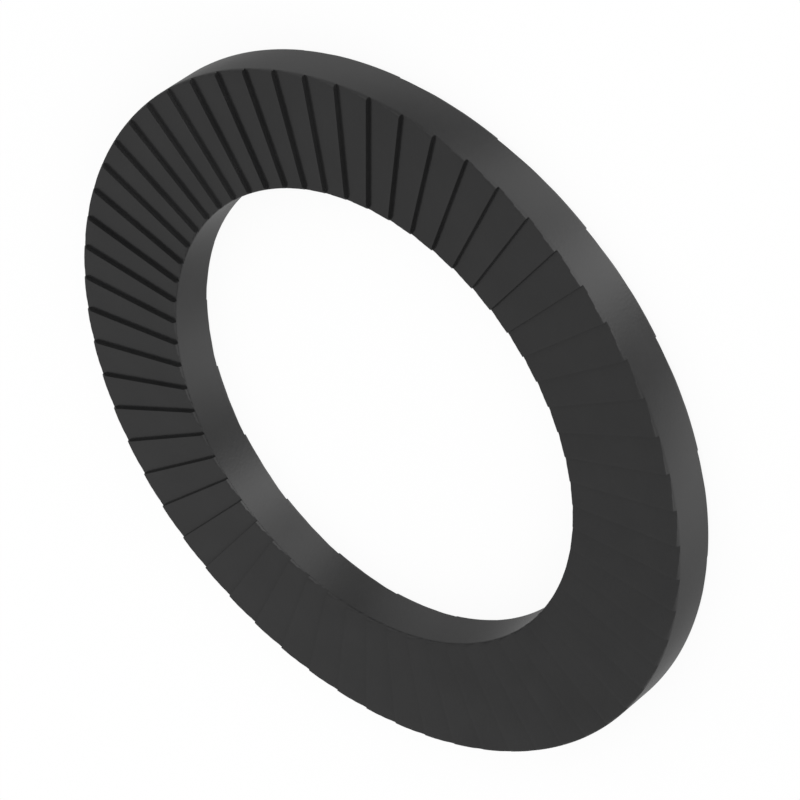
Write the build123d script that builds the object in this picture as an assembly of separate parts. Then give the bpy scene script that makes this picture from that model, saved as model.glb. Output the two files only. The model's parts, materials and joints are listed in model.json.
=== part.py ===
from build123d import *

import os
from math import cos, hypot, radians, sin

# Serrated safety washer: a one-piece steel ring that keeps a bolt head or nut from shaking loose.
# The upper face has fine radial teeth that bite into the head above it. The lower face has wide
# cams that wedge against a second washer like it. Each tooth and each cam is a long ramp that
# ends in a steep radial wall, and all the walls face clockwise, seen from above.
# The origin is on the bore's axis, level with the lowest points of the cams. +Z is up, and one
# tooth wall and one cam wall stand over the +X axis. All lengths are in millimetres.

# The ring
bore_dia = 13.0
ring_width = 3.25  # from the bore to the outer rim
ring_height = 1.37  # from the lowest points of the cams to the tooth crests
edge_chamfer = 0.08  # broken edge of the four rims, as they are before the teeth and cams

# The teeth on the upper face
tooth_count = 60
tooth_depth = 0.1

# The cams on the lower face, which is a very flat cone
cam_count = 20
cam_rise = 0.1
cam_face_relief = 0.06  # how much higher the cam face lies at the outer rim than at the bore

# The walls of the teeth and cams lean a little, so that the ring comes free of its die
wall_lean = 0.013  # how far the foot of each wall stands out from its top

# How far each cutter runs past the ring
overrun = 0.5

bore_radius = bore_dia / 2
outer_radius = bore_radius + ring_width
cam_face_slope = cam_face_relief / ring_width
# The chamfer of the bore takes this much off the cone's lowest edge
chamfered_off = edge_chamfer * cam_face_slope / hypot(1, cam_face_slope)


def cam_face_height(radius):
    """Height of the cam tips at a distance from the axis, zero at the chamfer of the bore."""
    return cam_face_slope * (radius - bore_radius) - chamfered_off


def blank_ring():
    """The ring as punched: flat on top, slightly coned below, with all four rims chamfered."""
    outline = Polyline(
        (bore_radius, cam_face_height(bore_radius)),
        (outer_radius, cam_face_height(outer_radius)),
        (outer_radius, ring_height),
        (bore_radius, ring_height),
        close=True,
    )
    section = make_face(Plane.XZ * outline)
    return revolve(chamfer(section.vertices(), edge_chamfer), Axis.Z)


def ramp_cutter(index, count, tip_height, foot_height, far_height):
    """The space over one of a ring of ramps, from the ramp's tip line to the wall at its foot.

    The three heights are functions of the distance from the axis.
    """
    pitch = 360 / count
    start = radians(index * pitch)
    end = radians((index + 1) * pitch)
    inner_reach = bore_radius - overrun
    outer_reach = (outer_radius + overrun) / cos(radians(pitch / 2))
    sections = []
    for radius in (inner_reach, outer_reach):
        tip = (radius * cos(start), radius * sin(start))
        next_tip = (radius * cos(end), radius * sin(end))
        lean_share = wall_lean / (2 * radius * sin(radians(pitch / 2)))
        foot = [far - lean_share * (far - near) for near, far in zip(tip, next_tip)]
        corners = [
            (*tip, tip_height(radius)),
            (*foot, foot_height(radius)),
            (*next_tip, tip_height(radius)),
            (*next_tip, far_height(radius)),
            (*tip, far_height(radius)),
        ]
        sections.append(Face(Wire.make_polygon(corners, close=True)))
    return loft(sections, ruled=True)


def tooth_cutters():
    """One cutter for each tooth: its ramp falls from the crest to the foot of the next wall."""
    return [
        ramp_cutter(
            index,
            tooth_count,
            tip_height=lambda radius: ring_height,
            foot_height=lambda radius: ring_height - tooth_depth,
            far_height=lambda radius: ring_height + overrun,
        )
        for index in range(tooth_count)
    ]


def cam_cutters():
    """One cutter for each cam: its ramp climbs from the tip to the top of the next wall."""
    return [
        ramp_cutter(
            index,
            cam_count,
            tip_height=cam_face_height,
            foot_height=lambda radius: cam_face_height(radius) + cam_rise,
            far_height=lambda radius: -overrun,
        )
        for index in range(cam_count)
    ]


serrated_washer = blank_ring() - tooth_cutters() - cam_cutters()

os.makedirs("parts", exist_ok=True)
export_step(serrated_washer, "parts/serrated_washer.step")
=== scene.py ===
import json
from math import atan2, cos, hypot, pi, radians, sin

import bpy
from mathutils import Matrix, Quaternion, Vector


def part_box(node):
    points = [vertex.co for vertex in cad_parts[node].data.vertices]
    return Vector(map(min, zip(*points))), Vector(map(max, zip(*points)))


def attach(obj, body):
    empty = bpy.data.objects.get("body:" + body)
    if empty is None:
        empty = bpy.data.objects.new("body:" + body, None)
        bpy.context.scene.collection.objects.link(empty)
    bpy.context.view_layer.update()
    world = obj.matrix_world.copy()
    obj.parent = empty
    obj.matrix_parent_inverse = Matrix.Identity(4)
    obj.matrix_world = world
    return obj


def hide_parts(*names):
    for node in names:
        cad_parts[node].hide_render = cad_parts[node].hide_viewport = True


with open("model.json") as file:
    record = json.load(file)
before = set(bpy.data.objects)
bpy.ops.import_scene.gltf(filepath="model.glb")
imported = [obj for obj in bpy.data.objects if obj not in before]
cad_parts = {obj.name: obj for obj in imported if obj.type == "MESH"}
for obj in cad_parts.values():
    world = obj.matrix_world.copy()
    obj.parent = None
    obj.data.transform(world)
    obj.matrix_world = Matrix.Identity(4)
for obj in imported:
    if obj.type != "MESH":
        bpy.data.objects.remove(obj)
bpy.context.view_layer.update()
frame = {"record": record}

# The washer
# A ring punched from hardened steel, with both faces coined in one blow: fine radial teeth above,
# wide cams below. Each tooth and cam is a ramp that ends in a steep wall, all facing one way.
MM = 0.001
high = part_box("serrated_washer")[1]
bore = next(m for m in frame["record"]["mounts"] if m["name"] == "bore")
OUTER_RADIUS = high.x
BORE_RADIUS = bore["dims"]["r_mm"] * MM
CREST_HEIGHT = high.z
EDGE_RADIUS = 0.125 * MM
TOOTH_DEPTH = 0.1 * MM
CAM_RISE = 0.1 * MM
CAM_FACE_RELIEF = 0.06 * MM
WALL_LEAN = 0.013 * MM
CREST_RADIUS = 0.005 * MM
TEETH = 60
CAMS = 20
STEPS_PER_TOOTH = 16
CREST_STEPS = 4
EDGE_SEGMENTS = 6
ROUND_PROFILE = 0.5
WELD_DISTANCE = 0.001 * MM
SHARP_ANGLE = radians(30)
FLAT_FACE_WEIGHT = 100

ring_width = OUTER_RADIUS - BORE_RADIUS
middle_radius = (OUTER_RADIUS + BORE_RADIUS) / 2
middle_height = CREST_HEIGHT / 2
teeth_per_cam = TEETH // CAMS
tooth_pitch = 2 * pi / TEETH
cam_pitch = 2 * pi / CAMS
stations = teeth_per_cam * (STEPS_PER_TOOTH + 1)
cam_face_slope = CAM_FACE_RELIEF / ring_width
# The round at the bore takes this much off the lowest edge of the coned cam face
rounded_off = EDGE_RADIUS * (cam_face_slope + hypot(1, cam_face_slope) - 1)


def cam_tip_height(radius):
    """Height of the cam tips at a distance from the axis, zero at the round of the bore."""
    return cam_face_slope * (radius - BORE_RADIUS) - rounded_off


def select_by_place(mesh_object, test):
    """Selects the vertices whose place passes a test, in edit mode, and nothing else."""
    bpy.ops.object.mode_set(mode="EDIT")
    bpy.ops.mesh.select_mode(type="VERT")
    bpy.ops.mesh.select_all(action="DESELECT")
    bpy.ops.object.mode_set(mode="OBJECT")
    for vertex in mesh_object.data.vertices:
        vertex.select = test(vertex.co)
    bpy.ops.object.mode_set(mode="EDIT")


# The section of the ring, with its four corners rounded, spun through the width of one cam
bpy.ops.object.select_all(action="DESELECT")
bpy.ops.mesh.primitive_plane_add(size=1, rotation=(pi / 2, 0, 0))
washer = bpy.context.object
washer.name = "washer"
washer.scale = (ring_width, CREST_HEIGHT, 1)
washer.location = (middle_radius, 0, middle_height)
bpy.ops.object.transform_apply(location=True, rotation=True, scale=True)
select_by_place(washer, lambda place: place.z < middle_height and place.x > middle_radius)
bpy.ops.transform.translate(value=(0, 0, cam_tip_height(OUTER_RADIUS)))
select_by_place(washer, lambda place: place.z < middle_height and place.x < middle_radius)
bpy.ops.transform.translate(value=(0, 0, cam_tip_height(BORE_RADIUS)))
bpy.ops.mesh.select_all(action="SELECT")
bpy.ops.mesh.bevel(
    offset=EDGE_RADIUS,
    segments=EDGE_SEGMENTS,
    affect="VERTICES",
    profile=ROUND_PROFILE,
)
bpy.ops.mesh.select_all(action="SELECT")
bpy.ops.mesh.delete(type="ONLY_FACE")
bpy.ops.mesh.select_all(action="SELECT")
bpy.ops.mesh.spin(steps=stations, angle=cam_pitch, center=(0, 0, 0), axis=(0, 0, 1))
bpy.ops.object.mode_set(mode="OBJECT")

# The blow of the coining die: every station is turned to its place on a ramp, and what stands
# beyond the ramps is pressed back to them. Each wall is two stations, its foot and its top, and the
# next few stations are the small round that the coating leaves on the crest and on the cam's tip.
for vertex in washer.data.vertices:
    place = vertex.co
    radius = hypot(place.x, place.y)
    station = round(abs(atan2(place.y, place.x)) / cam_pitch * stations)
    tooth, step = divmod(station, STEPS_PER_TOOTH + 1)
    rolled = pi / 2 * min(1, step / CREST_STEPS)
    crest_share = CREST_RADIUS * (1 - cos(rolled)) / radius / tooth_pitch
    crest_drop = CREST_RADIUS * (1 - sin(rolled))
    ramp_share = max(0, step - CREST_STEPS) / (STEPS_PER_TOOTH - CREST_STEPS)
    foot_share = 1 - WALL_LEAN / radius / tooth_pitch
    tooth_share = crest_share + (foot_share - crest_share) * ramp_share
    cam_share = (tooth % teeth_per_cam + tooth_share) / teeth_per_cam
    tooth_ramp = CREST_HEIGHT - TOOTH_DEPTH * tooth_share - crest_drop
    cam_ramp = cam_tip_height(radius) + CAM_RISE * cam_share
    if tooth % teeth_per_cam == 0:
        cam_ramp += crest_drop
    angle = tooth_pitch * (tooth + tooth_share)
    place.z = max(cam_ramp, min(tooth_ramp, place.z))
    place.x = radius * cos(angle)
    place.y = radius * sin(angle)

# The rest of the ring is this stretch, copied round it and joined
bpy.ops.object.mode_set(mode="EDIT")
bpy.ops.mesh.select_all(action="SELECT")
bpy.ops.mesh.spin(
    steps=CAMS - 1,
    dupli=True,
    angle=cam_pitch * (CAMS - 1),
    center=(0, 0, 0),
    axis=(0, 0, 1),
)
bpy.ops.mesh.select_all(action="SELECT")
bpy.ops.mesh.remove_doubles(threshold=WELD_DISTANCE)
bpy.ops.mesh.normals_make_consistent(inside=False)
bpy.ops.object.mode_set(mode="OBJECT")
bpy.ops.object.shade_smooth_by_angle(angle=SHARP_ANGLE)
bpy.ops.object.modifier_add(type="WEIGHTED_NORMAL")
washer.modifiers[-1].keep_sharp = True
washer.modifiers[-1].weight = FLAT_FACE_WEIGHT
bpy.ops.object.modifier_apply(modifier=washer.modifiers[-1].name)


class Shader:
    """One socket of a material's nodes. Arithmetic on it adds Math nodes."""

    def __init__(self, tree, socket):
        self.tree = tree
        self.socket = socket

    def node(self, kind, settings=None, output=0, **inputs):
        """Adds a node, with its settings first, then the values or links of its sockets."""
        made = self.tree.nodes.new(kind)
        for name, value in (settings or {}).items():
            setattr(made, name, value)
        for name, value in inputs.items():
            target = made.inputs[int(name[1:]) if name[1:].isdigit() else name.replace("_", " ")]
            if isinstance(value, Shader):
                self.tree.links.new(value.socket, target)
            else:
                target.default_value = value
        return Shader(self.tree, made.outputs[output] if made.outputs else None)

    def math(self, operation, left, right=0.0):
        return self.node("ShaderNodeMath", {"operation": operation}, i0=left, i1=right)

    def __add__(self, other):
        return self.math("ADD", self, other)

    __radd__ = __add__

    def __sub__(self, other):
        return self.math("SUBTRACT", self, other)

    def __rsub__(self, other):
        return self.math("SUBTRACT", other, self)

    def __mul__(self, other):
        return self.math("MULTIPLY", self, other)

    __rmul__ = __mul__

    def dot(self, direction):
        settings = {"operation": "DOT_PRODUCT"}
        return self.node("ShaderNodeVectorMath", settings, output="Value", i0=self, i1=direction)

    def exp(self):
        return self.math("EXPONENT", self)


# Its coating is black zinc flake, dipped, spun and baked on. The film is a little cloudy over a
# millimetre or two, and the flakes in it make a fine leafy grain.
CLOUD_SIZE = 1.4 * MM
CLOUD_DETAIL = 3.0
FLAKE_SIZE = 0.07 * MM
FLAKE_DETAIL = 1.0
FLAKE_LIFT = 0.0025 * MM
NOISE_MIDDLE = 0.5
BLACK = 0.0122
BLACK_CLOUDS = 0.009
BLACK_FLAKES = 0.006
BLUE_TINT = 1.015
SATIN = 0.22
SATIN_CLOUDS = 0.1
SATIN_FLAKES = 0.08
FILM_IOR = 1.5
coating = bpy.data.materials.new("black_coated_steel")
coating.use_nodes = True
shader = coating.node_tree.nodes["Principled BSDF"]
film = Shader(coating.node_tree, None)
spot = film.node("ShaderNodeTexCoord", output="Object")
cloud_noise = film.node("ShaderNodeTexNoise", Vector=spot, Scale=1 / CLOUD_SIZE, Detail=CLOUD_DETAIL)
flake_noise = film.node("ShaderNodeTexNoise", Vector=spot, Scale=1 / FLAKE_SIZE, Detail=FLAKE_DETAIL)
clouds = cloud_noise - NOISE_MIDDLE
flakes = flake_noise - NOISE_MIDDLE
shade = BLACK + BLACK_CLOUDS * clouds + BLACK_FLAKES * flakes
black = film.node("ShaderNodeCombineColor", Red=shade, Green=shade, Blue=BLUE_TINT * shade)
satin = SATIN + SATIN_CLOUDS * clouds + SATIN_FLAKES * flakes
grain = film.node("ShaderNodeBump", Distance=FLAKE_LIFT, Height=flake_noise)
coating.node_tree.links.new(black.socket, shader.inputs["Base Color"])
coating.node_tree.links.new(satin.socket, shader.inputs["Roughness"])
coating.node_tree.links.new(grain.socket, shader.inputs["Normal"])
shader.inputs["IOR"].default_value = FILM_IOR
washer.data.materials.append(coating)

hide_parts("serrated_washer")
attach(washer, "root")

# The floor
# A plain white tabletop, which the lens sees as clean white with a light shadow on it. It is
# clear from below, and clear to the gloss, so the upright walls mirror the studio around them.
FLOOR_SIZE = 4.0
FLOOR_GLOW = 0.9
PAPER_COLOUR = (1, 1, 1, 1)
PAPER_WHITE = 1.02
bpy.ops.object.select_all(action="DESELECT")
bpy.ops.mesh.primitive_plane_add(size=FLOOR_SIZE)
floor = bpy.context.object
floor.name = "floor"
floor.visible_glossy = False
paper = bpy.data.materials.new("white_paper")
paper.use_nodes = True
paper.node_tree.nodes.clear()
white = Shader(paper.node_tree, None)
seen = white.node("ShaderNodeLightPath", output="Is Camera Ray")
matt = white.node("ShaderNodeBsdfDiffuse", Color=PAPER_COLOUR)
glow = white.node("ShaderNodeEmission", Color=PAPER_COLOUR, Strength=PAPER_WHITE)
upper_side = white.node("ShaderNodeMixShader", i0=FLOOR_GLOW * seen, i1=matt, i2=glow)
below = white.node("ShaderNodeNewGeometry", output="Backfacing")
clear = white.node("ShaderNodeBsdfTransparent")
both_sides = white.node("ShaderNodeMixShader", i0=below, i1=upper_side, i2=clear)
white.node("ShaderNodeOutputMaterial", Surface=both_sides)
floor.data.materials.append(paper)

# The studio
# A grey surround, paler to one side, under a pale ceiling with a skylight in it, and four tall lit
# panels around the camera. The upright walls of the washer mirror the panels as soft streaks.
SURROUND = 0.313
PALER_TOWARDS = (-0.1, 0, 0)
CEILING = 0.215
CEILING_RISE = (radians(15), radians(45))
SKYLIGHT = 0.16
SKYLIGHT_RISE = (radians(55), radians(80))
PANELS = (
    # azimuth, tightness and brightness of each panel
    (radians(199.3), 7.0, 0.83),
    (radians(261.9), 21.7, 1.9),
    (radians(296.5), 21.6, 1.17),
    (radians(352.2), 5.8, 0.46),
)
PANEL_TOP = radians(55)
PANEL_FADE = radians(12)

world = bpy.data.worlds.new("studio")
world.use_nodes = True
bpy.context.scene.world = world
background = world.node_tree.nodes["Background"]
studio = Shader(world.node_tree, None)
gaze = studio.node("ShaderNodeTexCoord", output="Generated")
level_gaze = gaze.node("ShaderNodeVectorMath", {"operation": "MULTIPLY"}, i0=gaze, i1=(1, 1, 0))
compass = gaze.node("ShaderNodeVectorMath", {"operation": "NORMALIZE"}, i0=level_gaze)
height = gaze.dot((0, 0, 1))


def fade(start, end):
    """Goes smoothly from 0 at one elevation to 1 at another."""
    settings = {"interpolation_type": "SMOOTHSTEP"}
    heights = {"From_Min": sin(start), "From_Max": sin(end)}
    return studio.node("ShaderNodeMapRange", settings, Value=height, **heights)


panel_light = 0
for azimuth, tightness, brightness in PANELS:
    towards = (cos(azimuth), sin(azimuth), 0)
    panel_light = panel_light + brightness * ((compass.dot(towards) - 1) * tightness).exp()
below_top = fade(PANEL_TOP + PANEL_FADE, PANEL_TOP - PANEL_FADE)
surround = SURROUND + gaze.dot(PALER_TOWARDS)
overhead = CEILING * fade(*CEILING_RISE) + SKYLIGHT * fade(*SKYLIGHT_RISE)
light = surround + overhead + panel_light * below_top
seen = studio.node("ShaderNodeLightPath", output="Is Camera Ray")
white_to_lens = studio.math("MAXIMUM", seen, light)
world.node_tree.links.new(white_to_lens.socket, background.inputs["Color"])

# The camera
# A long lens some 100 mm away, looking down on the toothed face at the photograph's angle. It is
# rolled, so that the washer, which lies flat, stands up in the picture as in the photograph.
VIEW_AZIMUTH = radians(-3.46)
VIEW_ELEVATION = radians(37.893)
VIEW_ROLL = radians(233.59)
VIEW_DISTANCE = 102.26 * MM
LENS = 181.03
AIM_HEIGHT = 0.153 * MM
AIM_RIGHT = 0.0883 * MM
AIM_DOWN = 0.0092 * MM
back = Vector(
    (
        sin(VIEW_AZIMUTH) * cos(VIEW_ELEVATION),
        -cos(VIEW_AZIMUTH) * cos(VIEW_ELEVATION),
        sin(VIEW_ELEVATION),
    )
)
turn = (-back).to_track_quat("-Z", "Y") @ Quaternion((0, 0, 1), VIEW_ROLL)
right = turn @ Vector((1, 0, 0))
down = turn @ Vector((0, -1, 0))
aim = Vector((0, 0, AIM_HEIGHT)) + right * AIM_RIGHT + down * AIM_DOWN
bpy.ops.object.camera_add()
camera = bpy.context.object
camera.rotation_mode = "QUATERNION"
camera.rotation_quaternion = turn
camera.location = aim + back * VIEW_DISTANCE
camera.data.lens = LENS
camera.data.clip_start = MM
camera.data.clip_end = 2 * FLOOR_SIZE
bpy.context.scene.camera = camera
bpy.context.scene.view_settings.view_transform = "Standard"
